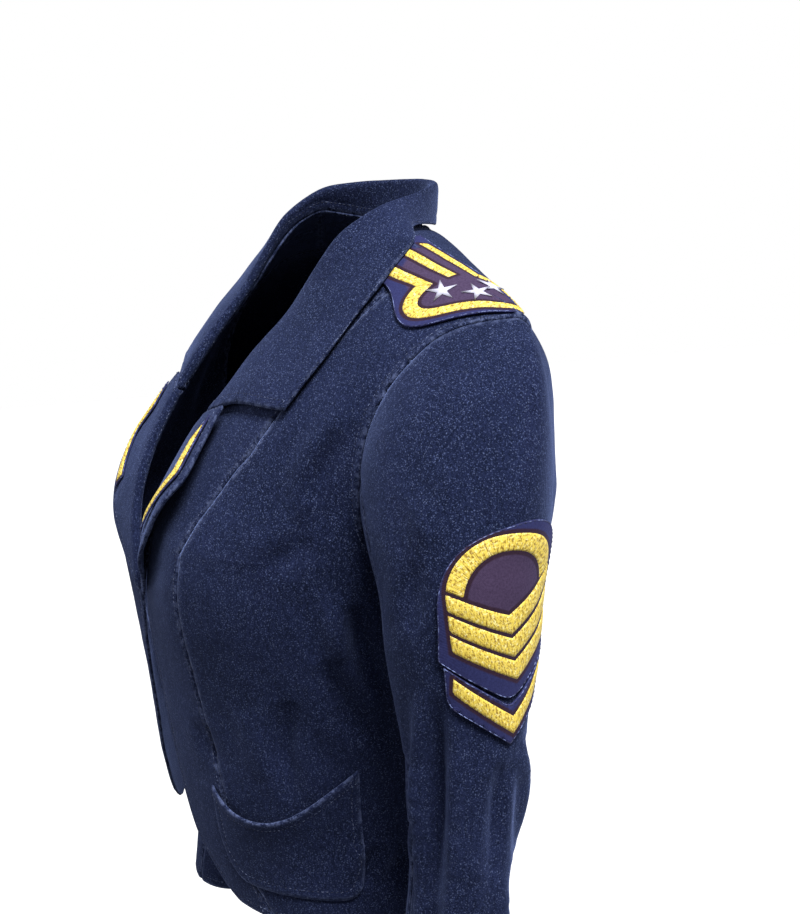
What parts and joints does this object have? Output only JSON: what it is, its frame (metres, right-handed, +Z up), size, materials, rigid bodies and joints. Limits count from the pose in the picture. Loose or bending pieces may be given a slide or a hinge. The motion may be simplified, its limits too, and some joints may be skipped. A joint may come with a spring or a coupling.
{
  "type": "military-style blazer",
  "caption": "Cropped, fitted knit blazer with a notched collar, long sleeves, patch pockets and chevron badges, shown hollow and held at the shoulders.",
  "frame": {"origin": "midway between the two points where the shoulder seams meet the neckline, where the wearer's shoulders hold the garment", "axes": "+Z up, +X to the wearer's left, the wearer faces -Y"},
  "size_m": [0.56, 0.2956, 0.652],
  "materials": {
    "navy_knit": "matte, washed and slightly brushed",
    "badge_embroidery": "satin stitch on twill"
  },
  "bodies": {
    "root": {"front_centre_left": "navy_knit", "front_centre_right": "navy_knit", "front_side_left": "navy_knit", "front_side_right": "navy_knit", "back_left": "navy_knit", "back_right": "navy_knit", "sleeve_upper_left": "navy_knit", "sleeve_upper_right": "navy_knit", "sleeve_under_left": "navy_knit", "sleeve_under_right": "navy_knit", "collar": "navy_knit", "lapel_left": "navy_knit", "lapel_right": "navy_knit", "pocket_left": "navy_knit", "pocket_right": "navy_knit", "badge_shoulder_left": "badge_embroidery", "badge_shoulder_right": "badge_embroidery", "badge_sleeve_left": "badge_embroidery", "badge_sleeve_right": "badge_embroidery", "badge_sleeve_lower_left": "badge_embroidery", "badge_sleeve_lower_right": "badge_embroidery", "badge_lapel_left": "badge_embroidery", "badge_lapel_right": "badge_embroidery"}
  },
  "joints": []
}
